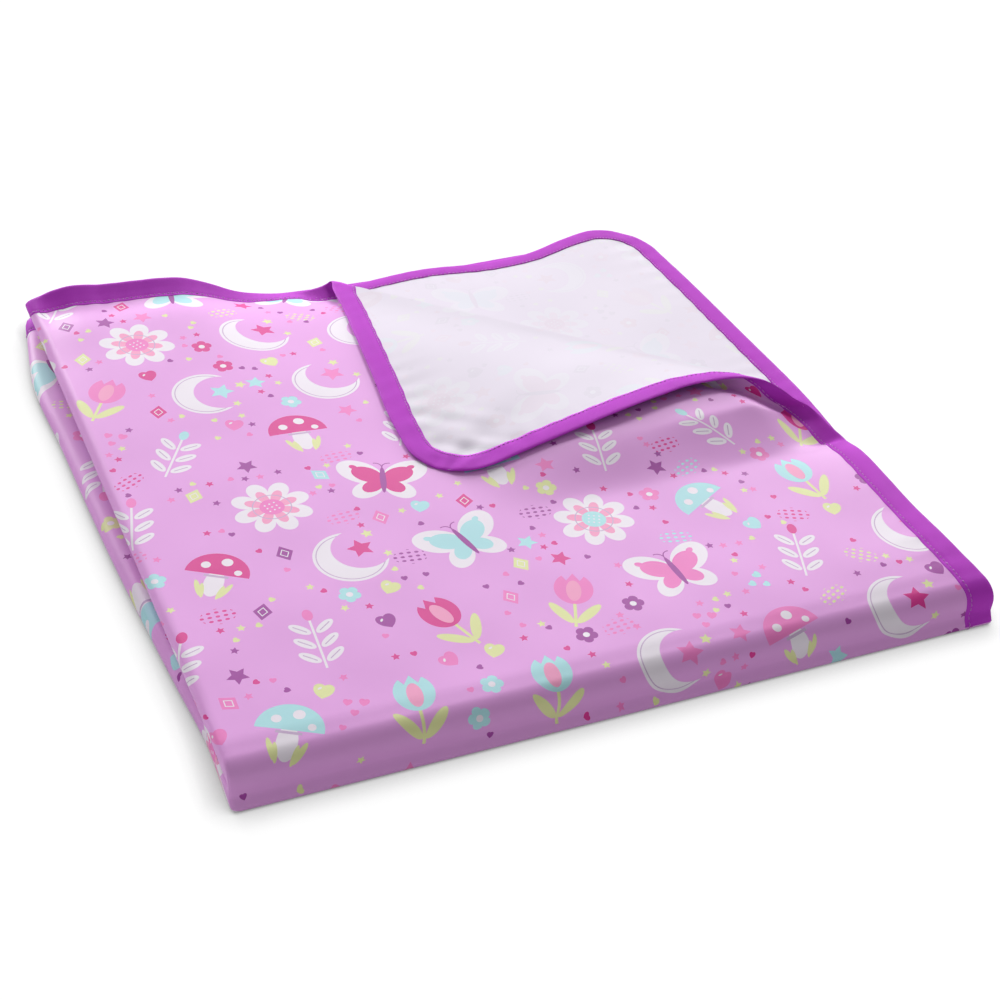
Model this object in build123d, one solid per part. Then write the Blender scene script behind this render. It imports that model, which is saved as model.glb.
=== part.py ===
"""Waterproof changing mat, folded in quarters with one corner of its top panel turned back.

The open mat is a square of two bonded plies, printed cloth and white waterproof film, with one tape round its
edge. It is folded in half to the left, then in half to the front, so four panels lie on each other:

    top panel     print up          the corner at its back right is turned back and shows the film
    third panel   print down
    second panel  print up
    bottom panel  print down        lies on the table

Here x runs from the side folds to the right, y from the front rolls to the back and z up from the table.
The upper half of the stack is the lower half mirrored in the middle of the stack.
"""

from build123d import *
import math
import os

# Open mat
mat_side = 1067.0  # 42 inches
corner_radius = 55.0
face_thickness = 0.5  # printed cloth
backing_thickness = 0.4  # waterproof film
tape_width = 19.0  # of its leaf on the printed side
tape_back_width = 15.5  # of its leaf on the film side
tape_thickness = 0.3  # one leaf of the tape, which the stitching presses flush into the cloth

# Folded stack
side_fold_height = 14.0  # outside height of one side fold
half_gap = 2.0  # air between the two halves
roll_gap = 5.0  # air between the outer front roll and the inner one

# Turned-back corner
crease_back_x = 218.0  # where the crease meets the back edge, from the side folds
crease_right_y = 226.0  # where the crease meets the right edge, from the front
crease_height = 8.0  # underside of the top panel to the top of the flap

# Two halves of a fold stay this far from their hinge line, which runs along the outside of the fold.
hinge_clearance = 0.15

# Cloth
cloth_thickness = face_thickness + backing_thickness
side_radius = side_fold_height / 2
side_middle_radius = side_radius - cloth_thickness / 2
stack_height = 2 * side_fold_height + half_gap
roll_radius = stack_height / 2
roll_middle_radius = roll_radius - cloth_thickness / 2
inner_roll_radius = half_gap / 2  # to the printed side, which is inside
inner_middle_radius = inner_roll_radius + cloth_thickness / 2
inner_roll_y = cloth_thickness + roll_gap + inner_roll_radius + cloth_thickness

# Edges: the same length of cloth runs from every fold to the tape.
right_x = side_radius + (mat_side - math.pi * side_middle_radius) / 2
outer_back_y = roll_radius + (mat_side - math.pi * roll_middle_radius) / 2
inner_back_y = inner_roll_y + (mat_side - math.pi * inner_middle_radius) / 2

# Crease frame: x along the crease from the back edge, y towards the corner that is turned back, z up.
crease_run = Vector(right_x - crease_back_x, crease_right_y - outer_back_y)
crease_length = crease_run.length
along = crease_run.normalized()
across = Vector(-along.Y, along.X)
crease_plane = Plane(origin=(crease_back_x, outer_back_y, 0), x_dir=along, z_dir=(0, 0, 1))
crease_radius = crease_height / 2  # to the film, which is outside
crease_middle_radius = crease_radius - cloth_thickness / 2
crease_cloth = math.pi * crease_middle_radius
crease_z = stack_height - cloth_thickness + crease_radius

# The whole folded mat stands over the middle of its own base.
to_origin = Pos(-right_x / 2, -inner_back_y / 2, 0)


def plies(sheet):
    """Printed cloth, film and tape of one stretch of the mat.

    sheet(near, far, inset) is the stretch between two depths below its printed side, with each bound edge
    moved in by inset.
    """
    print_cloth = sheet(0, face_thickness, tape_width)
    print_cloth += sheet(tape_thickness, face_thickness, tape_thickness)
    film_leaf = cloth_thickness - tape_thickness
    film = sheet(face_thickness, cloth_thickness, tape_back_width)
    film += sheet(face_thickness, film_leaf, tape_thickness)
    tape = sheet(0, cloth_thickness, 0) - sheet(0, tape_thickness, tape_width)
    tape -= sheet(film_leaf, cloth_thickness, tape_back_width)
    tape -= sheet(tape_thickness, film_leaf, tape_thickness)
    return {"print": print_cloth, "backing": film, "binding": tape}


def slab(outline, low, high):
    return extrude(Pos(0, 0, low) * outline, high - low)


def panel_outline(front_y, back_y, inset):
    """A quarter of the mat, from its folds to its bound edges, with the round corner at the back right."""
    width = right_x - inset - side_radius
    depth = back_y - inset - front_y
    outline = Pos(side_radius, front_y) * Rectangle(width, depth, align=(Align.MIN, Align.MIN))
    corner = outline.vertices().sort_by(Axis.Y)[-2:].sort_by(Axis.X)[-1]
    return fillet(corner, corner_radius - inset)


def bottom_panel(near, far, inset):
    return slab(panel_outline(roll_radius, outer_back_y, inset), near, far)


def second_panel(near, far, inset):
    outline = panel_outline(inner_roll_y, inner_back_y, inset)
    return slab(outline, side_fold_height - far, side_fold_height - near)


def side_fold(near, far, inset):
    """Half round at the left, longer at its top, because the inner panels reach further back."""
    middle = Plane.XZ * Pos(side_radius, side_radius)
    ring = middle * (Circle(side_radius - near) - Circle(side_radius - far))
    tube = extrude(ring, -inner_back_y)
    side = Polygon(
        (roll_radius, 0),
        (outer_back_y - inset, 0),
        (outer_back_y - inset, cloth_thickness),
        (inner_back_y - inset, side_fold_height - cloth_thickness),
        (inner_back_y - inset, side_fold_height),
        (roll_radius, side_fold_height),
        align=None,
    )
    return tube & extrude(Plane.YZ * side, side_radius)


def quarter_roll(center_y, radius_low, radius_high, start_x, end_x):
    """Front quarter of a roll along x, from under its middle up to just below the hinge line."""
    ring = Circle(radius_high) - Circle(radius_low)
    reach = radius_high
    quarter = Pos(-reach / 2, -reach / 2 - hinge_clearance / 2) * Rectangle(reach, reach - hinge_clearance)
    section = Plane.YZ * Pos(center_y, roll_radius) * (ring & quarter)
    return extrude(Pos(start_x, 0, 0) * section, end_x - start_x)


def front_roll(near, far, inset):
    return quarter_roll(roll_radius, roll_radius - far, roll_radius - near, 0, right_x - inset)


def inner_roll(near, far, inset):
    low = inner_roll_radius + near
    high = inner_roll_radius + far
    return quarter_roll(inner_roll_y, low, high, side_radius, right_x - inset)


def back_edge_at(distance, inset):
    """Place along the crease of the cloth's back edge, that distance of cloth past the crease."""
    return (inset + distance * across.Y) / -along.Y


def right_edge_at(distance, inset):
    return crease_length - (inset + distance * across.X) / along.X


def top_panel(near, far, inset):
    outline = panel_outline(roll_radius, outer_back_y, inset)
    reach = mat_side
    turned = crease_plane * Pos(crease_length / 2, reach / 2) * Rectangle(reach, reach)
    return slab(outline - turned, stack_height - far, stack_height - near)


def corner_flap(near, far, inset):
    """The turned-back triangle: cloth past the crease roll, laid over to the front."""
    corner = Vector(right_x - inset, outer_back_y - inset) - Vector(crease_back_x, outer_back_y)
    outline = Polygon(
        (back_edge_at(crease_cloth, inset), 0),
        (corner.dot(along), crease_cloth - corner.dot(across)),
        (right_edge_at(crease_cloth, inset), 0),
        align=None,
    )
    outline = fillet(outline.vertices().sort_by(Axis.Y)[0], corner_radius - inset)
    print_z = crease_z + crease_radius - cloth_thickness
    return crease_plane * slab(outline, print_z + near, print_z + far)


def crease_quarter(near, far, inset, side):
    """One quarter of the crease roll: side -1 carries on from the top panel, side 1 joins the flap."""
    inner = crease_radius - cloth_thickness
    ring = Circle(inner + far) - Circle(inner + near)
    reach = crease_radius
    height = reach - hinge_clearance
    quarter = Pos(reach / 2, side * (reach + hinge_clearance) / 2) * Rectangle(reach, height)
    tube = extrude(Plane.YZ * Pos(0, crease_z) * (ring & quarter), crease_length)
    at_panel = 0 if side < 0 else crease_cloth
    at_nose = crease_cloth / 2
    plan = Polygon(
        (back_edge_at(at_panel, inset), 0),
        (right_edge_at(at_panel, inset), 0),
        (right_edge_at(at_nose, inset), reach),
        (back_edge_at(at_nose, inset), reach),
        align=None,
    )
    return crease_plane * (tube & slab(plan, 0, crease_z + reach))


def panel_crease(near, far, inset):
    return crease_quarter(near, far, inset, -1)


def flap_crease(near, far, inset):
    return crease_quarter(near, far, inset, 1)


def mirrored_up(sheet):
    """The same stretch in the upper half of the stack."""
    middle = Plane.XY.offset(stack_height / 2)
    return lambda near, far, inset: mirror(sheet(near, far, inset), about=middle)


stretches = {
    "bottom_panel": bottom_panel,
    "second_panel": second_panel,
    "lower_side_fold": side_fold,
    "lower_front_roll": front_roll,
    "lower_inner_roll": inner_roll,
    "third_panel": mirrored_up(second_panel),
    "top_panel": top_panel,
    "upper_side_fold": mirrored_up(side_fold),
    "upper_front_roll": mirrored_up(front_roll),
    "upper_inner_roll": mirrored_up(inner_roll),
    "panel_crease": panel_crease,
    "flap_crease": flap_crease,
    "corner_flap": corner_flap,
}


def main():
    os.makedirs("parts", exist_ok=True)
    for stretch, sheet in stretches.items():
        for ply, solid in plies(sheet).items():
            export_step(to_origin * solid, f"parts/{stretch}_{ply}.step")
    half_axis = Vector(0, -hinge_clearance, stack_height / 2) + to_origin.position
    nose = Pos(0, crease_radius + hinge_clearance, crease_z)
    corner_axis = (crease_plane.location * nose).position + to_origin.position
    print("half fold hinge at", tuple(half_axis), "along +x")
    print("corner fold hinge at", tuple(corner_axis), "along", tuple(-along))
    print("folded size", right_x, inner_back_y, crease_z + crease_radius)


main()
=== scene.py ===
import math

import bmesh
import bpy
import numpy as np
from mathutils import Matrix, Vector


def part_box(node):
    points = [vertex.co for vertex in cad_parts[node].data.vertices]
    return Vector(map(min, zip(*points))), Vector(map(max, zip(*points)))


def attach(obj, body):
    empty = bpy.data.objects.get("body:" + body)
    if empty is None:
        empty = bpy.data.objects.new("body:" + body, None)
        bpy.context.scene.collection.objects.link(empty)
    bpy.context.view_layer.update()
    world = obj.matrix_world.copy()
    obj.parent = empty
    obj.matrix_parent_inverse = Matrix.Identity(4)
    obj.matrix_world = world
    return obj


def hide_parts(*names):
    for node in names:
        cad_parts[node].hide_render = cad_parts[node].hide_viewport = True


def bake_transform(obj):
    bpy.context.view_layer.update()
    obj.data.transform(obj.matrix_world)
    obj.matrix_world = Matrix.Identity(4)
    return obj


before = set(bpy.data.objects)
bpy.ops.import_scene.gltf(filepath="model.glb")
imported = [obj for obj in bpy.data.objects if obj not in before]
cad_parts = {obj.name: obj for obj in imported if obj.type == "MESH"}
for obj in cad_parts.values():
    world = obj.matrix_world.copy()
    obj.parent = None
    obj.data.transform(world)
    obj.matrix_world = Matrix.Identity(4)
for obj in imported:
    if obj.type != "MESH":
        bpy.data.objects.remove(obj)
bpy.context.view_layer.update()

# All lengths are in millimetres in the mat's own frame: x from the side folds, y from the front roll and
# z from the floor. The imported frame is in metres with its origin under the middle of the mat.
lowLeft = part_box("lower_side_fold_print")[0]
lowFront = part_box("lower_front_roll_print")[0]
matOrigin = np.array([lowLeft.x, lowFront.y, 0.0])

# The open mat, and how it is folded. Flat places on it are (a, b): a runs from the side folds, above 0 on
# the outer panels and below 0 on the inner ones, and b from the front rolls, above 0 in the upper half.
mat = {
    "halfSide": 533.5,
    "cornerRadius": 50.0,
    "printPly": 0.5,
    "filmPly": 0.4,
    "foldRadius": 6.5,  # of the side folds, to the face between the two plies
    "rollRadius": 14.5,  # of the outer front roll
    "innerRollBack": 5.4,  # how far the inner roll lies behind the outer one
    "middle": 15.0,  # height of the gap between the halves at the front
    "gapFall": 6.0,  # how much lower that gap lies at the back
    "halfSeam": -60.0,  # the b at which the upper sheets end and the lower ones begin
    "inset": 0.3,  # how far inside the tape's fold the sheets end
    # Where the cloth turns with a fold, between two rows of cloth, so that it lies straight over the hinge:
    # the height of that place at the front, how much lower it lies at the back, and how far it reaches.
    "turnMiddle": 15.2,
    "turnFall": 7.6,
    "turnBand": 0.01,
    # The bound edges pull the cloth from this far behind the front fold, and fully this much further back.
    "pullStart": (4.0, 60.0),
    # How far from the gap the inner panels' pull goes, and over what height the outer panels' takes over.
    "innerReach": (1.5, 13.0),
    "frontShape": (0.2, 0.95),  # bulk of the outer roll below and above its middle: 1 is round, 0 square
    "leftShape": (0.3, 1.0),  # bulk of the side folds at the front and further back
    "leftShapeRun": 90.0,  # from the front
    # How far the front stands out at the floor, up to which height, over what height, and its reach in y.
    "foot": (5.5, 10.0, 9.0, 16.0),
    "gather": 0.25,  # height of the gathers beside the tape
    "slope": (4.0, 16.0, 30.0),  # the top panel slopes down to the front: how far, its middle and its reach
    "rightEnd": (7.5, 40.0, 45.0),  # the roll's right end stands out: how far, and its reach in x and y
}

# Where each panel's bound edges lie off their flat places: cloth coordinate, then x, y and z.
topPanel = {
    "backEdge": [
        (0, 0, 0, 0.5), (12, 0, 0, 3), (22, 0, 0, 6.5), (36, 0, 0, 8.8), (60, 0, 0, 6.5), (88, 0, 0, 5.5),
        (108, 0, 0, 4.6), (126, 1, 0, 1.5), (143, 4, -2.5, -5.5), (160, 5, -9, -11.5),
        (180, 5.5, -14, -14.8), (200, 6, -16.5, -16), (233, 6, -16.5, -16),
    ],
    "rightEdge": [
        (0, 0, 0, 0), (30, 0, 0, 1.5), (63, 0, 1, 2), (100, 0, 3, 0.8), (140, 0.5, 6, 1), (160, 1, 7, 0.3),
        (172, 1, 7.3, -1.3), (180, 0.5, 7.5, -3.3), (184, 0, 7.5, -3.9), (188, -1, 7.5, -3.3),
        (200, -4, 7.8, -1.8), (212, -6, 8.3, 0.2), (224, -10, 6, 3), (236, -19, 1, 7),
    ],
    "backReach": (90, 120, 62),  # how far into the panel x, y and z follow the edge
    "rightReach": (60, 150, 70),
    "lift": 0.0,  # how much higher the whole panel lies
    "waves": [(0.5, (70, 130), 3), (0.9, (240, 330), 8)],  # their height, lengths and seed
}
thirdPanel = {
    "backEdge": [
        (0, 0, 0, 0), (120, 0, -12, -4), (200, 0, -26, -7), (250, 0, -28, -6.5), (330, 0, -21, -5.4),
        (390, 0, -25, -5.4), (430, -2, -22, -3.6), (465, -2, -12, -1.4), (500, -2, -5, 0),
        (534, -1, -5, 0.5),
    ],
    "rightEdge": [
        (0, 0, 0, 0), (60, 1, 0, 0), (120, 3, 0, 0.5), (200, 6, 0, 1.5), (245, 8, 0, 1.6), (340, 5, 0, 1.6),
        (440, 1, 0, 1.5), (480, -1, 0, 1), (534, -2, 0, 0.5),
    ],
    "backReach": (120, 200, 90),
    "rightReach": (130, 150, 110),
    "lift": 0.35,
    "waves": [(0.25, (90, 160), 5)],
}
secondPanel = {
    "backEdge": [
        (0, 0, 0, 0), (110, 0, -9, 0), (200, 0, -18, 0), (300, 0, -19, 0), (430, 0, -13, 0),
        (534, 2, -9, 0),
    ],
    "rightEdge": [(0, 0, 0, 0), (150, 3, 0, 0), (300, 6, 0, 0), (534, 3, 0, 0)],
    "backReach": (120, 160, 100),
    "rightReach": (120, 150, 100),
    "lift": -0.55,
    "waves": [],
}
bottomPanel = {
    "backEdge": [
        (0, 0, 0, 0.8), (110, 0, -2, 0.8), (200, 0, -10, 0.8), (270, 0, -11, 0.8), (350, 0, -6, 0.8),
        (430, 0, -3, 0.8), (534, 0, 0, 0.8),
    ],
    "rightEdge": [(0, 0, 0, 0.8), (200, -2, 0, 0.8), (400, 2, 0, 0.8), (534, 0, 0, 0.8)],
    "backReach": (120, 160, 30),
    "rightReach": (120, 150, 30),
    "lift": 0.0,
    "waves": [],
}
# How far the lower side fold bulges out to the left, against the distance from the front.
lowerBulge = [(0, 0), (45, 1.5), (120, -3), (232, -9), (371, -12), (455, -13.5), (500, -7), (534, -1)]
bulgeReach = 160.0  # how far it reaches to the right

# The turned-back corner. Each edge is a line through a few places, from the top panel over the crease to
# the corner's tip, and the cloth lies straight from one edge to the other along the crease.
flap = {
    "leftEdge": [
        (170, 513, 16), (200, 509, 13.5), (226, 509, 13.5), (237, 509, 16), (240, 506, 20.5),
        (237, 492, 22.8), (233, 457, 26), (227, 415, 29.5), (219, 352, 31.6), (212, 300, 32),
        (210, 260, 32), (209, 214, 31.6),
    ],
    "leftCrease": 3,  # which of those places is on the crease
    "leftLength": 300.0,  # cloth from the crease to the tip
    "rightEdge": [
        (530, 184, 26), (526, 200, 27.7), (524, 212.5, 29.7), (520, 222, 32.5), (511, 229, 36.5),
        (503, 238, 41), (496, 246.5, 43.5), (485, 252, 45.3), (472, 255.5, 46), (455, 256.5, 46.2),
        (437, 256.5, 46.2), (406, 251, 45.8), (369, 243, 44.8), (328, 234, 42.3), (290, 227, 38.4),
        (250, 220, 34), (209, 214, 31.6),
    ],
    "rightCrease": 5,
    "rightLength": 285.0,
    "seam": -5.0,  # the corner's own piece starts this far before the crease
    "crown": 0.5,  # how much higher the crease stands in its middle
    "crownRun": ((-30, -5), (20, 130)),  # where past the crease that begins and ends
    "sag": (-1.2, 60.0),  # how much lower the turned cloth lies inside, and how far past the crease fully
    "waves": (0.7, (60, 95), 12),  # their height, lengths and seed
    "wrinkles": (0.4, 158.0, 27.0),  # their height, how far past the crease they lie, and their reach
    "turnAt": (215, 220, 28),  # a place in the plane where it turns with its fold, and that plane's facing
    "turnUp": (-0.044, 0.0375, 1),
    "leave": (-42.0, -14.0),  # where the top panel begins to follow the two edges, and then does so fully
}
# Where the cloth beside a bound edge sinks, so that the edge stands up like a wall: over which stretch of
# cloth along the edge it does so, how far past the crease it stops, and how far its lowest place moves.
edgeDips = [
    {"side": "right", "run": ((183, 190), (240, 262)), "fade": 22.0, "move": (3, 0, -6.3)},
    {"side": "back", "run": ((2, 22), (140, 200)), "fade": 14.0, "move": (0, 0, -4.5)},
    {"side": "back", "run": ((206, 216), (236, 248)), "fade": 10.0, "move": (0, 1, -3.0)},
]
dipInward = 19.0  # how far inside the edge that place is
# The top panel rises gently under the turned corner's front edge: over which a and b, and how far.
cornerRise = {"a": ((232, 330), (480, 530)), "b": ((176, 236), (250, 310)), "height": 8.0}

# Over which cloth past the crease the film's shading is evened out, in which share of it fully, from and to
# which upward slope, and how strongly.
filmCrease = {"past": (-26.0, 34.0), "full": 0.4, "up": (0.4, 0.8), "even": 0.92}

tape = {
    "printWidth": 19.0,
    "filmWidth": 15.5,
    "seamIn": 3.2,  # the stitches lie this far from the tape's inner edge on the printed side
    "filmSeamIn": 1.6,
    "base": 0.05,  # how far the leaves lie off the plies
    "swell": 0.4,
    "step": 3.0,
    "stray": ((0.22, 3.1), (0.12, 9.7)),  # how far the leaves' inner edges stray, and over what length
    "strayShift": (2.0, 23.0),
}
# The gathers beside the tape at the back and the right: their length, how far and over what length they
# stray, the length over which their height changes, and where that begins.
gathers = {"back": (17, 2.2, 47, 31, 0), "right": (18, 2.0, 53, 37, 1), "reach": 16.0}
thread = {"radius": 0.34, "pitch": 3.6, "lift": 0.42, "level": 0.02, "ringsPerStitch": 6, "around": 6}


def ease(t):
    t = np.clip(t, 0, 1)
    return t * t * (3 - 2 * t)


def between(at, start, end):
    # 1 from one stretch to another, easing in over the first and out over the second
    return ease((at - start[0]) / (start[1] - start[0])) * ease((end[1] - at) / (end[1] - end[0]))


def through(knots, at):
    # a smooth curve through a few knots, each a place and then its values
    table = np.array(knots, float)
    known, values = table[:, 0], table[:, 1:]
    slope = np.gradient(values, known, axis=0)
    at = np.clip(at, known[0], known[-1])
    i = np.clip(np.searchsorted(known, at, side="right") - 1, 0, len(known) - 2)
    step = (known[i + 1] - known[i])[:, None]
    t = (at - known[i])[:, None] / step
    near = (1 + 2 * t) * (1 - t) ** 2 * values[i] + t * (1 - t) ** 2 * step * slope[i]
    return near + t**2 * (3 - 2 * t) * values[i + 1] + t**2 * (t - 1) * step * slope[i + 1]


def lengthKnots(side):
    # the places on one edge of the turned corner, each after its cloth length past the crease
    points = np.array(flap[f"{side}Edge"], float)
    steps = np.linalg.norm(np.diff(points, axis=0), axis=1)
    at = np.concatenate([[0], np.cumsum(steps)])
    at -= at[flap[f"{side}Crease"]]
    at = np.where(at > 0, at * flap[f"{side}Length"] / at[-1], at)
    return np.column_stack([at, points])


halfSide, cornerRadius = mat["halfSide"], mat["cornerRadius"]
leftLength, rightLength = flap["leftLength"], flap["rightLength"]
leftKnots, rightKnots = lengthKnots("left"), lengthKnots("right")
cornerHeight = leftLength * rightLength / math.hypot(leftLength, rightLength)


def quarterTurn(bulk):
    # a quarter of a fold from its nose, against cloth length: out and up, for a radius of 1
    turn = np.linspace(0, math.pi / 2, 181)
    out, up = np.cos(turn) ** bulk, np.sin(turn) ** bulk
    steps = np.hypot(np.diff(out), np.diff(up))
    return np.concatenate([[0], np.cumsum(steps)]), out, up


def onFold(low, high, along, radius):
    # how far in from the nose and how far up a place lies, along being its cloth length from the nose
    place = np.abs(along) / radius
    spots = []
    for at, out, up in (low, high):
        beyond = np.maximum(place - at[-1], 0)
        spots.append((1 - np.interp(place, at, out) + beyond, np.interp(place, at, up)))
    inward = np.where(along < 0, spots[0][0], spots[1][0])
    return inward * radius, np.where(along < 0, -spots[0][1], spots[1][1])


frontLow, frontHigh = (quarterTurn(bulk) for bulk in mat["frontShape"])
squareFold, roundFold = (quarterTurn(bulk) for bulk in mat["leftShape"])


def waves(x, y, sizes, seed):
    # soft uneven waves, the same ones each time
    draw = np.random.default_rng(seed)
    total = np.zeros_like(x)
    for size in sizes:
        for _ in range(3):
            heading, phase = draw.uniform(0, 2 * math.pi, 2)
            total += np.sin((x * math.cos(heading) + y * math.sin(heading)) * 2 * math.pi / size + phase)
    return total / (3 * len(sizes))


def panelPull(panel, a, b, x, y):
    # how far a place on a panel is off its flat one, as its two bound edges pull it and as it waves
    back = through(panel["backEdge"], a)
    right = through(panel["rightEdge"], b)
    fromBack = (halfSide - b)[:, None] / np.array(panel["backReach"])
    fromRight = (halfSide - a)[:, None] / np.array(panel["rightReach"])
    pull = back * np.exp(-np.maximum(fromBack, 0)) + right * np.exp(-np.maximum(fromRight, 0))
    pull[:, 2] += panel["lift"]
    for height, sizes, seed in panel["waves"]:
        pull[:, 2] += height * waves(x, y, sizes, seed)
    return pull


def gatheredAlong(at, length, stray, strayRun, swellRun, shift):
    height = 0.6 + 0.4 * np.sin(at / swellRun + shift)
    return np.sin(2 * math.pi * at / length + stray * np.sin(at / strayRun)) * height


def gathered(a, b):
    # the stitching gathers the cloth a little beside the tape, and less further away from it
    besideBack = np.abs(halfSide - np.abs(b) - tape["printWidth"])
    besideRight = np.abs(halfSide - np.abs(a) - tape["printWidth"])
    back, right = gatheredAlong(a, *gathers["back"]), gatheredAlong(b, *gathers["right"])
    return back * np.exp(-besideBack / gathers["reach"]) + right * np.exp(-besideRight / gathers["reach"])


def turnedPlace(past, share):
    # a place on the turned corner, that far past the crease and at that share of the way to the right edge
    left = through(leftKnots, past * leftLength / cornerHeight)
    right = through(rightKnots, past * rightLength / cornerHeight)
    return left + (right - left) * share[:, None]


def pastCrease(a, b):
    # how far past the crease a flat place is, and at which share of the way to the right edge
    share = (halfSide - a) / leftLength + (halfSide - b) / rightLength
    fromLeft = (halfSide - b) / rightLength / np.maximum(share, 1e-6)
    return (1 - share) * cornerHeight, np.clip(fromLeft, -0.3, 1.3)


def place(a, b):
    # where a flat place on the open mat lies in the folded one, in the middle between its two plies
    a, b = np.asarray(a, float), np.asarray(b, float)
    inRound, upRound = onFold(roundFold, roundFold, a, mat["foldRadius"])
    inSquare, upSquare = onFold(squareFold, squareFold, a, mat["foldRadius"])
    square = 1 - ease(np.abs(b) / mat["leftShapeRun"])
    up = upRound + (upSquare - upRound) * square
    x = mat["printPly"] + inRound + (inSquare - inRound) * square
    depth = mat["foldRadius"] * (1 - up)

    radius = mat["rollRadius"] - depth
    nose = mat["printPly"] + mat["innerRollBack"] * depth / (2 * mat["foldRadius"])
    inward, height = onFold(frontLow, frontHigh, b, radius)
    y = nose + inward
    z = mat["middle"] + radius * height

    upper = b > 0
    far, beside = np.abs(b), np.abs(a)
    start, run = mat["pullStart"]
    away = ease((far - start) / run)
    start, run = mat["innerReach"]
    outer = np.clip((np.abs(z - mat["middle"]) - start) / run, 0, 1)[:, None]
    panels = (topPanel, thirdPanel, bottomPanel, secondPanel)
    top, third, bottom, second = (panelPull(panel, beside, far, x, y) for panel in panels)
    second[:, 2] -= mat["gapFall"] * far / halfSide
    pull = np.where(upper[:, None], third + (top - third) * outer, second + (bottom - second) * outer)
    pull[:, 0] += np.where(upper, 0, through(lowerBulge, far)[:, 0] * np.exp(-beside / bulgeReach))
    spot = np.column_stack([x, y, z]) + pull * away[:, None]
    deep, footTop, run, reach = mat["foot"]
    spot[:, 1] -= np.where(b < 0, deep * ease((footTop - z) / run) * np.exp(-y / reach), 0)
    deep, middle, reach = mat["slope"]
    sloped = deep * (np.exp(-(((b - middle) / reach) ** 2)) - math.exp(-((middle / reach) ** 2)))
    spot[:, 2] -= np.where(upper, np.maximum(sloped * outer[:, 0], 0), 0)
    deep, reachX, reachY = mat["rightEnd"]
    spot[:, 0] += deep * np.exp(-(halfSide - beside) / reachX) * np.exp(-((b / reachY) ** 2))
    gather = mat["gather"] * gathered(a, b) * away
    spot[:, 2] += np.where(z > 1, gather, 0)  # the cloth on the floor stays flat
    spot[:, 2] += cornerRise["height"] * between(a, *cornerRise["a"]) * between(b, *cornerRise["b"])

    past, share = pastCrease(a, b)
    turned = (a > 0) & (b > 0) & (past > flap["leave"][0])
    if turned.any():
        low, high = flap["leave"]
        weight = ease((past[turned] - low) / (high - low))[:, None]
        corner = turnedPlace(past[turned], share[turned])
        corner[:, 2] += cornerWaves(past[turned], share[turned]) + gather[turned]
        spot[turned] = spot[turned] * (1 - weight) + corner * weight
    outside = (a > 0) & (b > 0)
    spot[outside] += sunkBeside(a[outside], b[outside], past[outside])
    return spot


def sunkBeside(a, b, past):
    # how far the dips move a place: most at their lowest place, and nothing on the edge itself
    moved = np.zeros((len(a), 3))
    for dip in edgeDips:
        across, along = (a, b) if dip["side"] == "right" else (b, a)
        near = (halfSide - across) / dipInward
        amount = near * np.exp((1 - near**2) / 2) * between(along, *dip["run"])
        moved += (amount * ease((dip["fade"] - past) / dip["fade"]))[:, None] * np.array(dip["move"])
    return moved


def cornerWaves(past, share):
    # the turned corner sags between its edges, with soft wrinkles towards its tip
    inside = np.clip(4 * share * (1 - share), 0, 1)
    crown = flap["crown"] * between(past, *flap["crownRun"])
    sag, run = flap["sag"]
    high, sizes, seed = flap["waves"]
    soft = ease(past / run) * (sag + high * waves(past, share * 260, sizes, seed))
    high, middle, reach = flap["wrinkles"]
    tip = high * np.exp(-(((past - middle) / reach) ** 2))
    ridge, fineRidge, bend = 3.4, 2.3, 1.5 * np.sin(share * 4)
    ridges = np.sin(past / ridge + bend) + 0.4 * np.sin(past / fineRidge + share * 5)
    return (crown + soft + tip * ridges) * inside


def toFrame(spots):
    return matOrigin + spots / 1000


def unit(directions):
    return directions / np.maximum(np.linalg.norm(directions, axis=1), 1e-9)[:, None]


def printSide(a, b):
    # the direction that the printed side faces
    step = 0.6
    aLow, aHigh = np.maximum(a - step, -halfSide), np.minimum(a + step, halfSide)
    bLow, bHigh = np.maximum(b - step, -halfSide), np.minimum(b + step, halfSide)
    alongA = (place(aHigh, b) - place(aLow, b)) / (aHigh - aLow)[:, None]
    alongB = (place(a, bHigh) - place(a, bLow)) / (bHigh - bLow)[:, None]
    return unit(np.cross(alongA, alongB))


def flatGrid(columns, rows, size=1):
    # a flat grid and its places, from -size to size
    work = bmesh.new()
    bmesh.ops.create_grid(work, x_segments=columns, y_segments=rows, size=size)
    return work, np.array([v.co[:2] for v in work.verts])


def stepsOf(at, count):
    # which of so many steps along such a grid a place is at
    return np.rint((at + 1) / 2 * count).astype(int)


def meshOf(work, name):
    mesh = bpy.data.meshes.new(name)
    work.to_mesh(mesh)
    work.free()
    return mesh


def clothMesh(name, columns, rows, toFlat, trim=None):
    # a grid laid out on the open mat, trimmed there, and then folded
    work, grid = flatGrid(columns, rows)
    flatA, flatB = toFlat(grid[:, 0], grid[:, 1])
    for v, fa, fb in zip(work.verts, flatA, flatB):
        v.co = (fa, fb, 0)
    if trim:
        everything = work.verts[:] + work.edges[:] + work.faces[:]
        bmesh.ops.bisect_plane(work, geom=everything, plane_co=trim[0], plane_no=trim[1], clear_outer=True)
    bmesh.ops.remove_doubles(work, verts=work.verts, dist=0.02)
    bmesh.ops.recalc_face_normals(work, faces=work.faces)
    if sum(f.normal.z for f in work.faces) < 0:
        bmesh.ops.reverse_faces(work, faces=work.faces)
    for rim in work.edges:
        rim.smooth = not rim.is_boundary
    mesh = meshOf(work, name)
    flat = np.zeros(len(mesh.vertices) * 3)
    mesh.vertices.foreach_get("co", flat)
    flat = flat.reshape(-1, 3)
    layUv(mesh, flat[:, :2] / 1000)
    mesh.vertices.foreach_set("co", toFrame(place(flat[:, 0], flat[:, 1])).ravel())
    return finished(mesh)


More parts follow.
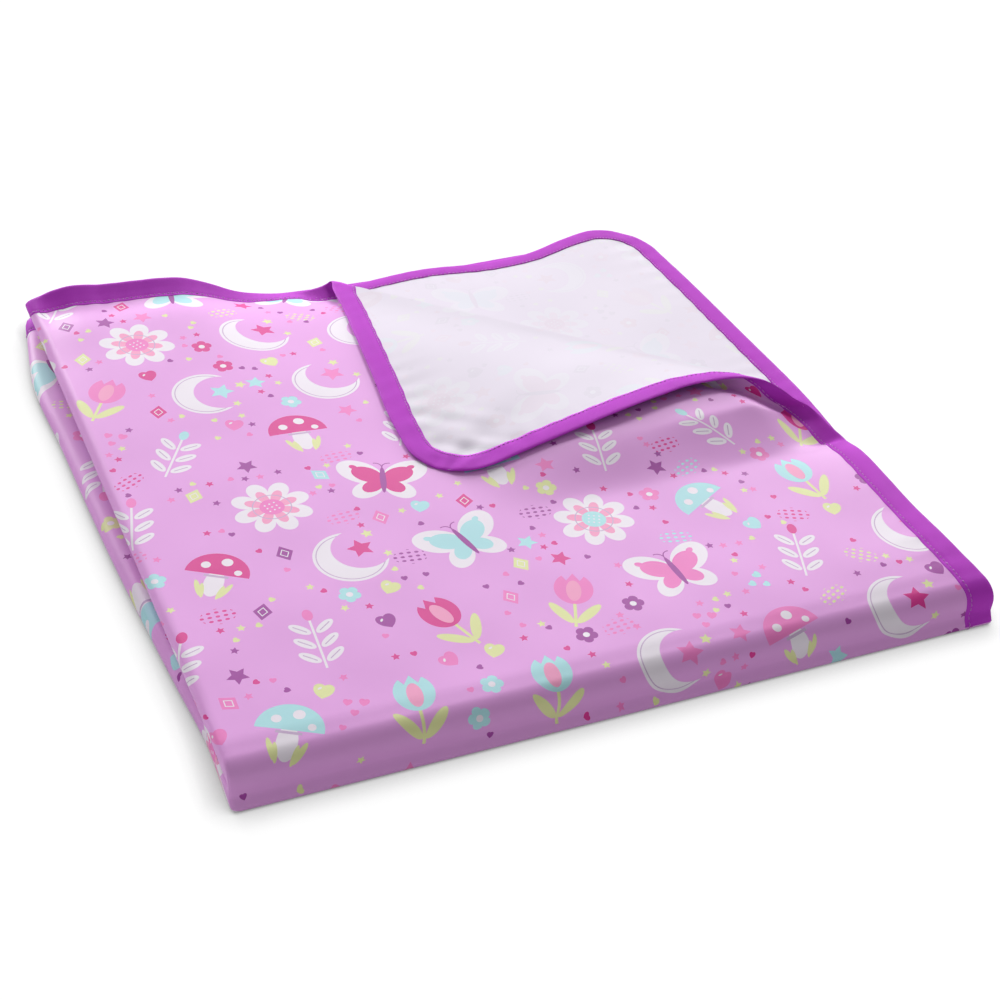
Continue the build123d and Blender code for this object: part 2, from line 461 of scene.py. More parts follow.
def layUv(mesh, places):
    corners = np.zeros(len(mesh.loops), np.int32)
    mesh.loops.foreach_get("vertex_index", corners)
    mesh.uv_layers.new(name="cloth").data.foreach_set("uv", places[corners].ravel())


def addObject(name, data):
    added = bpy.data.objects.new(name, data)
    bpy.context.scene.collection.objects.link(added)
    return added


def finished(mesh):
    mesh.polygons.foreach_set("use_smooth", np.ones(len(mesh.polygons), bool))
    mesh.update()
    return addObject(mesh.name, mesh)


def thicken(piece, thickness, towards):
    # towards 1 grows to the printed side, -1 to the film side
    wall = piece.modifiers.new("ply", "SOLIDIFY")
    wall.thickness = thickness / 1000
    wall.offset = towards
    wall.use_even_offset = False


def cornerRounded(a, b):
    # moves the places in the mat's square corners onto round ones
    centre = halfSide - cornerRadius
    u, v = np.maximum(np.abs(a) - centre, 0), np.maximum(np.abs(b) - centre, 0)
    reach, far = np.maximum(u, v), np.maximum(np.hypot(u, v), 1e-9)
    inCorner = (u > 0) & (v > 0)
    newA = np.where(inCorner, np.sign(a) * (centre + u * reach / far), a)
    newB = np.where(inCorner, np.sign(b) * (centre + v * reach / far), b)
    return newA, newB


def spaced(stops):
    # rows of a grid: from each place to the next, with that many steps
    rows = [np.array([stops[0][0]], float)]
    for (start, _), (end, steps) in zip(stops, stops[1:]):
        rows.append(np.linspace(start, end, steps + 1)[1:])
    return np.concatenate(rows)


def sheetGrid(rowsA, rowsB):
    # the size of a sheet's grid, and where its places lie on the open mat
    columns, rows = len(rowsA) - 1, len(rowsB) - 1
    return columns, rows, lambda u, v: cornerRounded(rowsA[stepsOf(u, columns)], rowsB[stepsOf(v, rows)])


# Rows of the sheets, each with the number of steps from the one before.
edge, halfSeam = halfSide - mat["inset"], mat["halfSeam"]
upperRowsA = spaced([(-edge, 0), (-18, 110), (18, 30), (edge, 146)])
upperRowsB = spaced([(halfSeam, 0), (-25, 7), (-3, 14), (3, 10), (25, 14), (edge, 132)])
lowerRowsA = spaced([(-edge, 0), (-18, 70), (18, 24), (edge, 70)])
lowerRowsB = spaced([(-edge, 0), (halfSeam, 80)])
cornerRows = spaced([(flap["seam"], 0), (12, 17), (cornerHeight, 78)])
cornerColumns = 120


def seamLine():
    # the line on the open mat where the turned corner's piece starts
    share = 1 - flap["seam"] / cornerHeight
    onBack = halfSide - leftLength * share
    point = Vector((onBack, halfSide, 0))
    away = Vector((rightLength, leftLength, 0)).normalized()
    return point, away


def cornerFlat(u, v):
    # the turned corner's grid: rows along the crease, closer together where the cloth turns over
    past = np.minimum(cornerRows, lastRow())[stepsOf(v, len(cornerRows) - 1)]
    share = 1 - past / cornerHeight
    left, right = rowEnds(share)
    run = left + (right - left) * ((u + 1) / 2)
    a = halfSide - share * leftLength * (1 - run)
    b = halfSide - share * rightLength * run
    return a, b


def rowEnds(share):
    # where a row along the crease meets the mat's outline, as shares of the way between its two edges
    radius = cornerRadius
    la, lb = share * leftLength, share * rightLength
    inset = mat["inset"]
    square = la**2 + lb**2
    half = la * (la - radius) + lb * radius
    inside = np.maximum(half**2 - square * ((la - radius) ** 2 + radius**2 - (radius - inset) ** 2), 0)
    low, high = (half - np.sqrt(inside)) / square, (half + np.sqrt(inside)) / square
    low = np.where(la * (1 - low) < radius, low, inset / lb)
    high = np.where(lb * high < radius, high, 1 - inset / la)
    return low, high


def lastRow():
    # the last row that still crosses the rounded corner
    share = np.linspace(0.01, 0.3, 600)
    radius = cornerRadius
    la, lb = share * leftLength, share * rightLength
    distance = np.abs(lb * radius + la * radius - la * lb) / np.hypot(la, lb)
    first = share[np.argmax(distance < radius - 0.4)]
    return (1 - first) * cornerHeight


# One side of the mat's outline: its straight stretch, and with the round corner after it.
straight = 2 * (halfSide - cornerRadius)
sideRun = straight + math.pi / 2 * cornerRadius


def outline(s, inset):
    # a place on the mat's outline, s along it from the middle of its right edge, moved in by inset
    radius = cornerRadius
    s = np.asarray(s, float) + straight / 2
    turn = np.floor(s / sideRun)
    rest = s - turn * sideRun
    onArc = rest > straight
    angle = np.where(onArc, (rest - straight) / radius, 0)
    x = halfSide - radius + (radius - inset) * np.cos(angle)
    y = np.minimum(rest, straight) - straight / 2 + (radius - inset) * np.sin(angle)
    c, d = np.cos(turn * math.pi / 2), np.sin(turn * math.pi / 2)
    return x * c - y * d, x * d + y * c


def outlineAt(a, b):
    # the reverse, for a place on the right, back or inner side
    if abs(a - halfSide) < 1:
        return b
    if abs(b - halfSide) < 1:
        return sideRun - a
    return 2 * sideRun - b


def tapePoint(s, w, off):
    # a place w in from the mat's edge, or just out from it, and off to its printed side
    least = 0.05
    inset = np.maximum(w, least)
    a, b = outline(s, inset)
    facing = printSide(a, b)
    spots = place(a, b) + facing * off[:, None]
    beyond = np.maximum(least - w, 0)
    if beyond.any():
        a2, b2 = outline(s, inset + 1.0)
        spots = spots + unit(place(a, b) - place(a2, b2)) * beyond[:, None]
    return spots


def leaf(width, seam, base, swell):
    # one leaf of the tape, from its inner edge to the mat's edge: how far in from that edge, and how high
    return [
        (width, base), (width - 0.35, base + 0.2), (seam + 1.3, base + 0.34), (seam, base + 0.02),
        (seam - 1.3, base + 0.34), (width * 0.6, base + swell), (width * 0.35, base + swell + 0.1),
        (2.2, base + swell), (0.6, base + swell * 0.7), (-0.3, base * 0.5),
    ]


def tapeProfile():
    # the tape's section, from its inner edge on the film side round the mat's edge to the printed side
    seam = tape["printWidth"] - tape["seamIn"]
    printed = leaf(tape["printWidth"], seam, mat["printPly"] + tape["base"], tape["swell"])
    seam = tape["filmWidth"] - tape["filmSeamIn"]
    filmSide = leaf(tape["filmWidth"], seam, mat["filmPly"] + tape["base"], tape["swell"])
    under = [(w, -off) for w, off in filmSide]
    return np.array(under + [(-0.6, 0.0)] + printed[::-1])


def tapeMesh(name, start, end):
    section = tapeProfile()
    work, grid = flatGrid(int(abs(end - start) / tape["step"]), len(section) - 1)
    mesh = meshOf(work, name)
    s = start + (end - start) * (grid[:, 0] + 1) / 2
    row = stepsOf(grid[:, 1], len(section) - 1)
    w, off = section[row, 0], section[row, 1]
    (far, run), (farSlow, runSlow), (shift, shiftRun) = *tape["stray"], tape["strayShift"]
    uneven = far * np.sin(s / run + shift * np.sin(s / shiftRun)) + farSlow * np.sin(s / runSlow)
    w = w + uneven * ease((w - 10) / 5)
    run = np.concatenate([[0], np.cumsum(np.hypot(*np.diff(section, axis=0).T))])
    layUv(mesh, np.column_stack([s, run[row]]) / 1000)
    mesh.vertices.foreach_set("co", toFrame(tapePoint(s, w, off)).ravel())
    return finished(mesh)


def threadMesh(name, start, end):
    # one thread on each side of the tape, in and out of it along the seam
    rings = int(abs(end - start) / thread["pitch"] * thread["ringsPerStitch"])
    around = thread["around"]
    work, grid = flatGrid(rings, around * 2 + 1)
    work.verts.ensure_lookup_table()
    row = stepsOf(grid[:, 1], around * 2 + 1)
    doomed = [f for f in work.faces if {row[v.index] for v in f.verts} == {around, around + 1}]
    bmesh.ops.delete(work, geom=doomed, context="FACES")
    s = start + (end - start) * (grid[:, 0] + 1) / 2
    printed = row <= around
    angle = np.where(printed, row, row - around - 1) / around * 2 * math.pi
    side = np.where(printed, 1.0, -1.0)
    level = np.where(printed, mat["printPly"], mat["filmPly"]) + thread["level"]
    inset = np.where(printed, tape["printWidth"] - tape["seamIn"], tape["filmWidth"] - tape["filmSeamIn"])
    a, b = outline(s, inset)
    facing = printSide(a, b)
    middle = place(a, b)
    inner = outline(s, inset + 1.0)
    across = unit(place(*inner) - middle)
    rise = level + thread["lift"] * np.cos(2 * math.pi * s / thread["pitch"])
    middle = middle + facing * (side * rise)[:, None]
    spots = middle + thread["radius"] * (np.cos(angle)[:, None] * across + np.sin(angle)[:, None] * facing)
    for v, spot in zip(work.verts, toFrame(spots)):
        v.co = spot
    bmesh.ops.remove_doubles(work, verts=work.verts, dist=1e-6)
    bmesh.ops.recalc_face_normals(work, faces=work.faces)
    return finished(meshOf(work, name))


# Shader nodes


def mathsNode(operation):
    # a method of a socket that feeds it to one Math node
    return lambda wire, *others: wire.maths(operation, *others)


class Wire:
    # a socket that takes part in sums
    def __init__(self, nodes, socket):
        self.nodes, self.socket = nodes, socket

    def maths(self, operation, *others):
        return self.nodes.add("Math", [self, *others], operation=operation)

    def __rsub__(self, other):
        return self.nodes.add("Math", [other, self], operation="SUBTRACT")

    def within(self, step):
        # the remainder, from -step/2 to step/2
        return self.maths("WRAP", step / 2, -step / 2)

    __add__ = mathsNode("ADD")
    __sub__ = mathsNode("SUBTRACT")
    __mul__ = mathsNode("MULTIPLY")
    __truediv__ = mathsNode("DIVIDE")
    __lt__ = mathsNode("LESS_THAN")
    __gt__ = mathsNode("GREATER_THAN")
    both = mathsNode("MINIMUM")
    either = mathsNode("MAXIMUM")
    size = mathsNode("ABSOLUTE")
    power = mathsNode("POWER")
    sine = mathsNode("SINE")
    cosine = mathsNode("COSINE")
    angle = mathsNode("ARCTAN2")
    floor = mathsNode("FLOOR")


class Shading:
    # the nodes of one material, or of the world
    def __init__(self, name, kind=bpy.data.materials):
        self.owner = kind.new(name)
        self.owner.use_nodes = True
        self.tree = self.owner.node_tree
        self.tree.nodes.clear()

    def add(self, kind, values=(), output=0, **settings):
        # a node with its values or what feeds them, and one of its outputs
        node = self.tree.nodes.new("ShaderNode" + kind)
        for key, value in settings.items():
            setattr(node, key, value)
        pairs = values.items() if isinstance(values, dict) else enumerate(values)
        for key, value in pairs:
            socket = node.inputs[key]
            if isinstance(value, Wire):
                self.tree.links.new(value.socket, socket)
            else:
                socket.default_value = value
        return Wire(self, node.outputs[output]) if node.outputs else None

    def mix(self, mask, low, high):
        return self.add("Mix", {0: mask, 6: low, 7: high}, 2, data_type="RGBA")

    def noise(self, at, scale, detail=2.0, roughness=0.5):
        values = {"Vector": at, "Scale": scale, "Detail": detail, "Roughness": roughness}
        return self.add("TexNoise", values)

    def eased(self, at, low, high):
        # 0 at low and 1 at high, easing between them
        return self.add("MapRange", [at, low, high, 0.0, 1.0], interpolation_type="SMOOTHSTEP")

    def raysOf(self, first, *kinds):
        # 1 for the rays of these kinds
        seen = self.add("LightPath", (), f"Is {first} Ray")
        return seen.either(self.raysOf(*kinds)) if kinds else seen

    def parts(self, vector):
        node = self.tree.nodes.new("ShaderNodeSeparateXYZ")
        self.tree.links.new(vector.socket, node.inputs[0])
        return [Wire(self, out) for out in node.outputs]

    def joined(self, x, y, z=0.0):
        return self.add("CombineXYZ", [x, y, z])

    def clothPlaces(self):
        return self.add("UVMap", uv_map="cloth")

    def surface(self, colour, rough, gloss, relief, facing=None):
        # the finished surface, relief being its strength, distance and height
        bump = dict(zip(("Strength", "Distance", "Height"), relief))
        if facing:
            bump["Normal"] = facing
        values = {"Specular IOR Level": gloss, "Base Color": colour, "Roughness": rough}
        values["Normal"] = self.add("Bump", bump)
        shader = self.add("BsdfPrincipled", values)
        self.add("OutputMaterial", {"Surface": shader})
        return self.owner


def tint(code):
    # a linear colour from its usual six signs
    parts = [int(code[i : i + 2], 16) / 255 for i in (0, 2, 4)]
    return (*[p / 12.92 if p <= 0.04045 else ((p + 0.055) / 1.055) ** 2.4 for p in parts], 1)


# The print: soft garden and night sky motifs scattered on a plain ground

inks = {
    "ground": tint("E6A3E6"),
    "white": tint("F0EAF2"),
    "line": tint("C9AFD0"),
    "rose": tint("F07CC4"),
    "magenta": tint("DC1E8C"),
    "plum": tint("9C2C9A"),
    "lime": tint("E2E8A0"),
    "aqua": tint("ACE4E8"),
    "blush": tint("F5A0C6"),
}
# The staggered rows of the three sizes of motif: steps across and up, and how far a motif may stray.
printRows = {"big": (84, 70, 6), "small": (29, 25, 4.5), "speck": (11.5, 10, 2.6)}
printLean = {"big": 1.1, "small": 1.4, "speck": 3.0}  # the whole range of their slants, in radians
printClear = {"small": {"big": 37}, "speck": {"big": 31, "small": 12}}  # how far they keep from larger ones


def disc(x, y, radius):
    return (x * x + y * y) < radius * radius


def oval(x, y, wide, tall):
    return disc(x * (1 / wide), y * (1 / tall), 1)


def bar(x, y, wide, tall):
    return (x.size() < wide).both(y.size() < tall)


def turned(x, y, degrees):
    c, s = math.cos(math.radians(degrees)), math.sin(math.radians(degrees))
    return x * c + y * s, y * c - x * s


def slanted(x, y, degrees, wide, tall):
    return oval(*turned(x, y, degrees), wide, tall)


def star(x, y, radius, inner=0.5):
    angle = y.angle(x)
    reach = (x * x + y * y).power(0.5)
    folded = (angle - math.pi / 2).within(2 * math.pi / 5).size()
    along, aside = reach * folded.cosine(), reach * folded.sine()
    valleyX, valleyY = radius * inner * math.cos(math.pi / 5), radius * inner * math.sin(math.pi / 5)
    return ((along - radius) * valleyY + aside * (radius - valleyX)) < 0


def heart(x, y, size):
    x, y = x * (1.15 / size), y * (1.15 / size) + 0.1
    beyond = x * x + y * y - 1
    return (beyond * beyond * beyond - x * x * y * y * y) < 0


def gem(x, y, wide, tall):
    return (x.size() * (1 / wide) + y.size() * (1 / tall)) < 1


def petals(x, y, radius, count, depth=0.42):
    angle = y.angle(x)
    lobe = (angle * (count / 2)).cosine().size().power(0.6)
    reach = (x * x + y * y).power(0.5)
    return reach < (lobe * depth + (1 - depth)) * radius


# Each motif is a list of shapes with their inks, drawn one over the other. It takes the distance across
# and up from its middle, and the colour that varies from one motif of its kind to the next.


def daisy(x, y, accent):
    ring = disc(x, y, 13.5).both(1 - disc(x, y, 12.7))
    return [
        (petals(x, y, 28, 8), inks["white"]),
        (petals(x, y, 19, 8, 0.8), inks["blush"]),
        (disc(x, y, 8.5), accent),
        (ring.both(petals(x, y, 28, 8)), inks["line"]),
        (disc(x.within(3.6), y.within(3.6), 0.7).both(disc(x, y, 6)), inks["white"]),
    ]


def wings(x, y, size):
    aside = x.size()
    upper = slanted(aside - size * 0.52, y - size * 0.3, 35, size * 0.56, size * 0.38)
    lower = slanted(aside - size * 0.36, y + size * 0.36, -42, size * 0.4, size * 0.28)
    return upper.either(lower)


def butterfly(x, y, accent):
    spots = slanted(x.size() - 20, y - 15, 35, 3.2, 2.2).either(disc(x.size() - 11, y + 13, 1.8))
    feelers = disc(x.size() - 5, y - 15, 5.4).both(1 - disc(x.size() - 5, y - 15, 4.6))
    feelers = feelers.both((y > 14).both(x.size() < 6))
    return [
        (wings(x, y, 31), inks["white"]),
        (wings(x, y, 21), accent),
        (spots, accent),
        (oval(x, y, 2.2, 15), inks["plum"]),
        (feelers, inks["plum"]),
    ]


def moon(x, y, accent):
    crescent = disc(x, y, 25).both(1 - disc(x - 10, y - 4.5, 20))
    rim = disc(x, y, 23).both(1 - disc(x, y, 22.2)).both(crescent)
    return [
        (crescent, inks["white"]),
        (rim, inks["line"]),
        (star(x - 10, y - 5, 9.5), accent),
        (star(x - 21, y - 17, 4.5).either(star(x - 24, y + 7, 3.6)), inks["lime"]),
    ]


def tulip(x, y, accent):
    blades = slanted(x.size() - 9, y + 15, 50, 12, 3.6)
    stem = bar(x, y + 13, 1.1, 15)
    teeth = (y - 24) + x.within(9).size() * 1.6 < 0
    return [
        (stem.either(blades), inks["lime"]),
        (oval(x, y - 9, 13, 15).both(teeth), accent),
        (oval(x, y - 7, 5, 10), inks["blush"]),
    ]


def sprig(x, y, accent):
    # a stem with pairs of leaves and a bud
    leafX, leafY = turned(x.size() - 8, y.within(13), 40)
    stretch = y.size() < 19.5
    return [
        (bar(x, y, 0.8, 24), inks["white"]),
        (oval(leafX, leafY, 7.8, 3.4).both(stretch), inks["white"]),
        (bar(leafX, leafY, 5, 0.4).both(stretch), inks["line"]),
        (oval(x, y - 25, 3.4, 5.2), accent),
    ]


def toadstool(x, y, accent):
    cap = oval(x, y - 1, 21, 20).both(y > 0)
    spots = disc(x + 9, y - 8, 3.2).either(disc(x - 4, y - 13, 3.8)).either(disc(x - 13, y - 4, 2.6))
    stem = oval(x, y + 9, 6.5, 13).both(y < 1)
    blades = slanted(x.size() - 9, y + 15, 68, 8, 1.9).either(slanted(x.size() - 6, y + 17, 80, 7, 1.6))
    return [
        (stem, inks["white"]),
        (bar(x, y + 2, 8, 1), inks["line"]),
        (cap, accent),
        (spots.both(cap), inks["white"]),
        (blades, inks["lime"]),
    ]


bigMotifs = [daisy, butterfly, moon, tulip, sprig, toadstool]


def smallMotifs(x, y, accent):
    # all six kinds at once, some with a detail in white
    cut = gem(x, y, 3.4, 4.4).both(1 - gem(x, y, 2.6, 3.4))
    drops = oval(x.within(5.2), y.within(4), 1.5, 1.0).both(oval(x, y, 11.5, 7.5))
    trio = heart(x + 5.5, y - 2.5, 2.9).either(heart(x - 4.5, y - 4, 3.3)).either(heart(x, y + 5.5, 2.7))
    return [
        [(star(x, y, 7.6), accent)],
        [(heart(x, y, 6.6), accent), (slanted(x + 2.6, y - 2.6, 45, 1.5, 0.8), inks["white"])],
        [(gem(x, y, 6.2, 8), accent), (cut, inks["white"])],
        [(petals(x, y, 7.6, 5, 0.32), accent), (disc(x, y, 2.3), inks["white"])],
        [(drops, accent)],
        [(trio, accent)],
    ]


def scattered(shade, at, kind):
    # the motif that a place belongs to: its middle, and three random shares of it
    wide, tall, stray = printRows[kind]
    u, v = at
    row = (v / tall).floor()
    shift = row.within(2) * 0.5
    column = (u / wide - shift).floor()
    chances = []
    for seed in (0.0, 1.0):
        values = {"Vector": shade.joined(column, row, wide + seed)}
        noise = shade.add("TexWhiteNoise", values, "Color", noise_dimensions="3D")
        chances.append(shade.parts(noise))
    middleU = (column + shift + 0.5) * wide + (chances[0][0] - 0.5) * (2 * stray)
    middleV = (row + 0.5) * tall + (chances[0][1] - 0.5) * (2 * stray)
    return (middleU, middleV), chances[1]


def motifAt(shade, at, kind):
    # how far a place lies across and up from the middle of its motif, which leans a little, then that
    # motif's random shares, and whether it is drawn
    middle, chances = scattered(shade, at, kind)
    x, y = at[0] - middle[0], at[1] - middle[1]
    lean = (chances[1] - 0.5) * printLean[kind]
    c, s = lean.cosine(), lean.sine()
    free = 1
    for larger, reach in printClear.get(kind, {}).items():
        other, _ = scattered(shade, middle, larger)
        free = (1 - disc(middle[0] - other[0], middle[1] - other[1], reach)).both(free)
    return x * c + y * s, y * c - x * s, chances, free


def accentOf(shade, chance, *names):
    colour = inks[names[0]]
    for index, name in enumerate(names[1:], 1):
        colour = shade.mix(chance > index / len(names), colour, inks[name])
    return colour


def painted(shade, colour, chance, kinds, free):
    # one of these kinds of motif in each place, by chance
    for index, layers in enumerate(kinds):
        here = (chance > index / len(kinds)).both(chance < (index + 1) / len(kinds)).both(free)
        for shape, ink in layers:
            colour = shade.mix(shape.both(here), colour, ink)
    return colour


def printColour(shade, places):
    # the print lies a little askew on the mat
    askew = {"Vector": places, "Rotation": (0, 0, math.radians(3))}
    u, v, _ = shade.parts(shade.add("Mapping", askew))
    at = (u * 1000, v * 1000)
    colour = shade.mix(0.0, inks["ground"], inks["ground"])

    x, y, speck, free = motifAt(shade, at, "speck")
    drawn = heart(x, y, 2.3).both(speck[0] < 0.35).either(star(x, y, 3.2).both(speck[0] > 0.72))
    accent = accentOf(shade, speck[2], "magenta", "plum", "rose", "lime")
    colour = shade.mix(drawn.both(free), colour, accent)

    x, y, small, free = motifAt(shade, at, "small")
    accent = accentOf(shade, small[2], "magenta", "lime", "plum", "rose", "aqua")
    colour = painted(shade, colour, small[0], smallMotifs(x, y, accent), free)

    x, y, big, free = motifAt(shade, at, "big")
    accent = accentOf(shade, big[2], "magenta", "aqua", "rose")
    colour = painted(shade, colour, big[0], [motif(x, y, accent) for motif in bigMotifs], free)
    return colour


turnsPerMetre = 6283  # the angle along a metre of cloth, for waves 1 mm long


def weave(shade, places, threads):
    # fine threads both ways, as a height from 0 to 1
    u, v, _ = shade.parts(places)
    across, along = (u * (turnsPerMetre / threads)).sine(), (v * (turnsPerMetre / threads)).sine()
    return across * along * 0.25 + (across.size() + along.size()) * 0.25


def printCloth():
    shade = Shading("printedCloth")
    places = shade.clothPlaces()
    colour = printColour(shade, places)
    threads = weave(shade, places, 0.42)
    uneven = shade.noise(places, 9, 3)
    colour = shade.mix(threads * 0.06, colour, tint("C489C8"))
    colour = shade.mix(uneven * 0.10, colour, tint("E8B4E9"))
    crumple = shade.noise(places, 60, 4, 0.55)
    height = threads * 0.12 + crumple * 0.5
    rough = uneven * 0.12 + 0.44
    return shade.surface(colour, rough, 0.27, (0.35, 0.0006, height))


def filmBacking():
    shade = Shading("waterproofFilm")
    places = shade.clothPlaces()
    colour = shade.mix(0.08, tint("E0DCE6"), printColour(shade, places))
    patches = shade.noise(places, 14, 3)
    colour = shade.mix(patches * 0.25, colour, tint("DCD3E1"))
    fine = shade.noise(places, 700, 2)
    crumple = shade.noise(places, 45, 4, 0.5)
    rough = patches * 0.15 + 0.45
    relief = (0.2, 0.0006, fine * 0.08 + crumple * 0.6)
    return shade.surface(colour, rough, 0.22, relief, creaseNormal(shade, places))


def creaseNormal(shade, places):
    # the film's direction, evened out where it bends over the turned corner's crease
    u, v, _ = shade.parts(places)
    share = (halfSide / 1000 - u) * (1000 / leftLength) + (halfSide / 1000 - v) * (1000 / rightLength)
    past = (1 - share) * (cornerHeight / 1000)
    low, high = filmCrease["past"]
    offMiddle = (past - (low + high) / 2000).size() * (2000 / (high - low))
    facing = shade.add("NewGeometry", (), "Normal")
    onTop = shade.eased(shade.parts(facing)[2], *filmCrease["up"])
    amount = shade.eased(offMiddle, 1.0, filmCrease["full"]) * onTop * filmCrease["even"]
    directions = {0: amount, 4: facing, 5: (0, 0, 1)}
    even = shade.add("Mix", directions, 1, data_type="VECTOR")
    return shade.add("VectorMath", [even], operation="NORMALIZE")


def tapeCloth():
    shade = Shading("bindingTape")
    places = shade.clothPlaces()
    u, v, _ = shade.parts(places)
    rib = (u * (turnsPerMetre / 0.7)).sine() * 0.5 + 0.5
    cross = (v * (turnsPerMetre / 0.9)).sine() * 0.5 + 0.5
    uneven = shade.noise(places, 60, 3)
    colour = shade.mix(uneven, tint("B836C6"), tint("C440D0"))
    colour = shade.mix(rib * cross * 0.18, colour, tint("8A2F97"))
    rough = uneven * 0.15 + 0.55
    return shade.surface(colour, rough, 0.12, (0.5, 0.0002, rib * 0.6 + cross * 0.4))


def sewingThread():
    shade = Shading("sewingThread")
    places = shade.add("TexCoord", (), "Object")
    strands = shade.noise(places, 4200, 1)
    colour = shade.mix(strands, tint("BE62C6"), tint("D089D6"))
    rough = strands * 0.2 + 0.4
    return shade.surface(colour, rough, 0.5, (0.4, 0.0002, strands))


def dress(piece, material):
    piece.data.materials.clear()
    piece.data.materials.append(material)


# The mat's pieces

print("materials")
cloth = printCloth()
film = filmBacking()
binding = tapeCloth()
sewing = sewingThread()

print("cloth")
plies = {
    "print": (cloth, mat["printPly"], 1, "printed_cloth"),
    "film": (film, mat["filmPly"], -1, "waterproof_film"),
}
pieces = {}
for ply, (material, thickness, towards, slotName) in plies.items():
    upper = clothMesh(f"upper_{ply}", *sheetGrid(upperRowsA, upperRowsB), seamLine())
    lower = clothMesh(f"lower_{ply}", *sheetGrid(lowerRowsA, lowerRowsB))
    corner = clothMesh(f"corner_{ply}", cornerColumns, len(cornerRows) - 1, cornerFlat)
    for piece in (upper, lower, corner):
        thicken(piece, thickness, towards)
        dress(piece, material)
        pieces[piece.name] = piece

print("tape and thread")
share = 1 - flap["seam"] / cornerHeight
onRight = outlineAt(halfSide, halfSide - rightLength * share)
onBack = outlineAt(halfSide - leftLength * share, halfSide)
frontRight, frontInner = outlineAt(halfSide, halfSeam), outlineAt(-halfSide, halfSeam)
runs = {
    "lower": (frontInner, frontRight + 4 * sideRun),
    "right": (frontRight, onRight),
    "corner": (onRight, onBack),
    "back": (onBack, frontInner),
}
for name, (start, end) in runs.items():
    band = tapeMesh(f"{name}_tape", start, end)
    stitches = threadMesh(f"{name}_thread", start, end)
    dress(band, binding)
    dress(stitches, sewing)
    pieces[band.name], pieces[stitches.name] = band, stitches


def frameVector(x, y, z):
    return Vector(toFrame(np.array([x, y, z], float)))


def turnPlaces(middle, up):
    # from where to where a piece goes over from one body to the other
    band = Vector(up).normalized() * mat["turnBand"] / 1000
    return frameVector(*middle) - band, frameVector(*middle) + band


halfTurn = turnPlaces((0, 0, mat["turnMiddle"]), (0, mat["turnFall"] / halfSide, 1))
cornerTurn = turnPlaces(flap["turnAt"], flap["turnUp"])
for name, piece in pieces.items():
    if name.startswith("lower"):
        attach(piece, "lower_half")
    elif name.startswith("corner"):
        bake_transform(piece)
    else:
        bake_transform(piece)

stretches = {
    "lower": ["bottom_panel", "second_panel", "side_fold", "front_roll", "inner_roll"],
    "upper": ["third_panel", "top_panel", "side_fold", "front_roll", "inner_roll", "panel_crease"],
    "corner": ["flap_crease", "corner_flap"],
}
for part, names in stretches.items():
    nodes = [f"{part}_{name}" if name.endswith(("fold", "roll")) else name for name in names]
    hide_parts(*[f"{node}_print" for node in nodes])
    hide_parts(*[f"{node}_backing" for node in nodes])
    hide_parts(*[f"{node}_binding" for node in nodes])

side = 2 * halfSide / 1000
seamCut = leftLength * rightLength * share**2 / 2e6
upperDeep, lowerDeep = side / 2 - halfSeam / 1000, side / 2 + halfSeam / 1000
edging = {"lower": ["lower"], "upper": ["right", "back"], "corner": ["corner"]}
for ply in plies:
    extras = {part: [] for part in edging}
    if ply == "print":
        for part, names in edging.items():
            extras[part] = [pieces[f"{name}_{kind}"] for kind in ("tape", "thread") for name in names]
    side * upperDeep - seamCut
    cornerSize = (leftLength * share / 1000, rightLength * share / 1000)

# Floor, light and camera

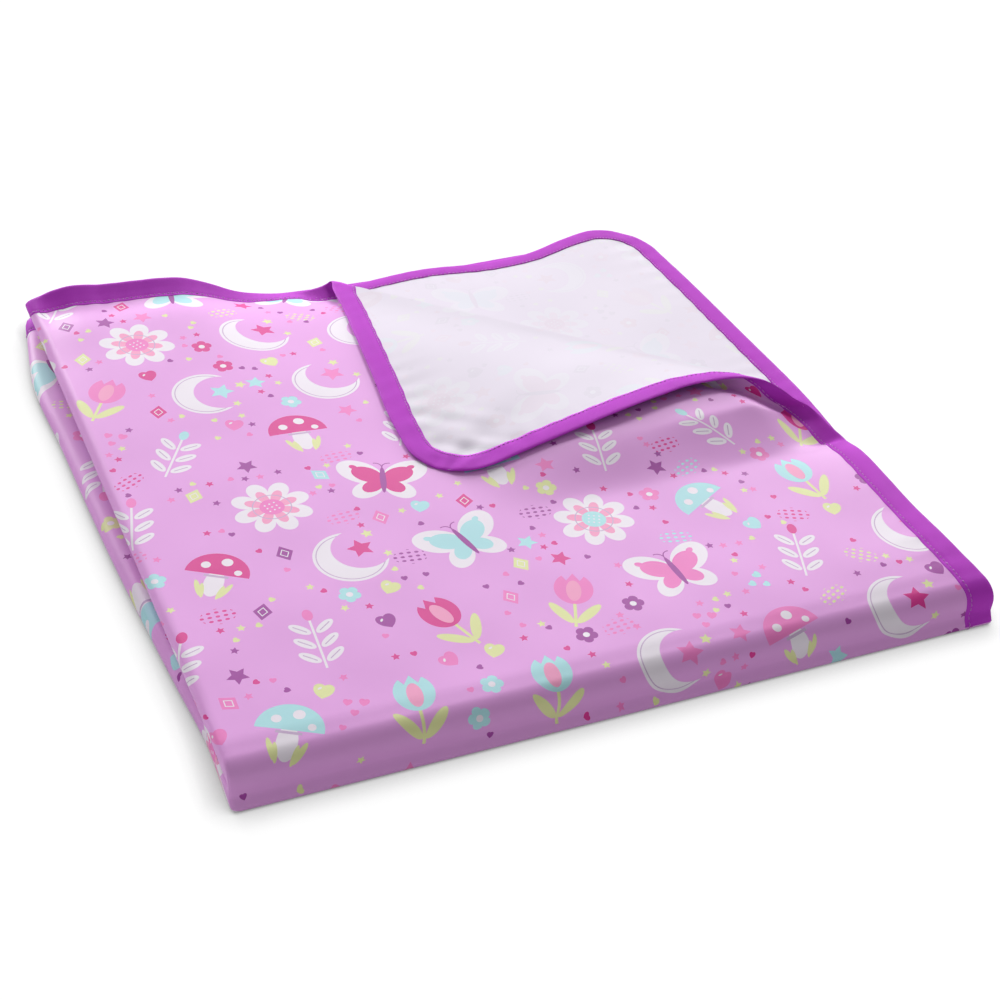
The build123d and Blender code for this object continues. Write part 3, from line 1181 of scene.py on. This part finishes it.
studio = {
    "floorSize": 12.0,
    "floorGlow": 0.88,  # how much of the floor is plain white for the camera
    "contactShade": 0.022,  # how near the mat the floor darkens
    "world": 0.3,
    # each lamp's name, place, size and power
    "lamps": [
        ("lowBack", (-0.68, 4.8, 1.21), 1.8, 240),
        ("lowRight", (3.6, 3.25, 1.21), 1.8, 100),
        ("sheen", (1.9, 3.57, 2.94), 1.8, 120),
        ("leftFill", (-4.2, 0.6, 0.8), 2.0, 10),
        ("frontFill", (-0.8, -3.2, 0.5), 2.0, 10),
    ],
}
camera = {
    "at": (-0.482, -0.9805, 0.805),
    "turn": 27.47,  # from +y towards +x
    "down": 37.41,
    "roll": 6.35,
    "lens": 66.67,
}

print("studio")


def addFloor():
    work, _ = flatGrid(1, 1, studio["floorSize"] / 2)
    floor = addObject("floor", meshOf(work, "floor"))
    shade = Shading("whiteFloor")
    seen = shade.raysOf("Camera", "Glossy", "Transmission") * studio["floorGlow"]
    matt = shade.add("BsdfDiffuse", {"Color": (0.86, 0.86, 0.86, 1)})
    near = {"Distance": studio["contactShade"]}
    clear = shade.add("AmbientOcclusion", near, "AO", samples=8)
    glow = shade.add("Emission", {"Color": (1, 1, 1, 1), "Strength": clear * 1.1})
    both = shade.add("MixShader", {0: seen, 1: matt, 2: glow})
    shade.add("OutputMaterial", {"Surface": both})
    dress(floor, shade.owner)


def addLamp(name, at, size, power):
    light = bpy.data.lights.new(name, "AREA")
    light.shape, light.size, light.energy = "DISK", size, power
    lamp = addObject(name, light)
    lamp.location = at
    lamp.rotation_euler = (-Vector(at)).to_track_quat("-Z", "Y").to_euler()


def addWorld():
    # white for the camera, and plain light for everything else
    shade = Shading("studio", bpy.data.worlds)
    seen = shade.raysOf("Camera", "Transmission")
    strength = shade.add("Mix", {0: seen, 2: studio["world"], 3: 1.0})
    white = shade.add("Background", {"Color": (1, 1, 1, 1), "Strength": strength})
    shade.add("OutputWorld", {"Surface": white})
    bpy.context.scene.world = shade.owner


def addCamera():
    data = bpy.data.cameras.new("camera")
    data.lens, data.sensor_width = camera["lens"], 36
    data.clip_start, data.clip_end = 0.05, 30
    view = addObject("camera", data)
    turns = (("Z", -camera["turn"]), ("X", 90 - camera["down"]), ("Z", camera["roll"]))
    view.matrix_world = Matrix.Translation(camera["at"])
    for axis, degrees in turns:
        view.matrix_world @= Matrix.Rotation(math.radians(degrees), 4, axis)
    bpy.context.scene.camera = view


addFloor()
for lamp in studio["lamps"]:
    addLamp(*lamp)
addWorld()
addCamera()
bpy.context.scene.view_settings.view_transform = "Standard"
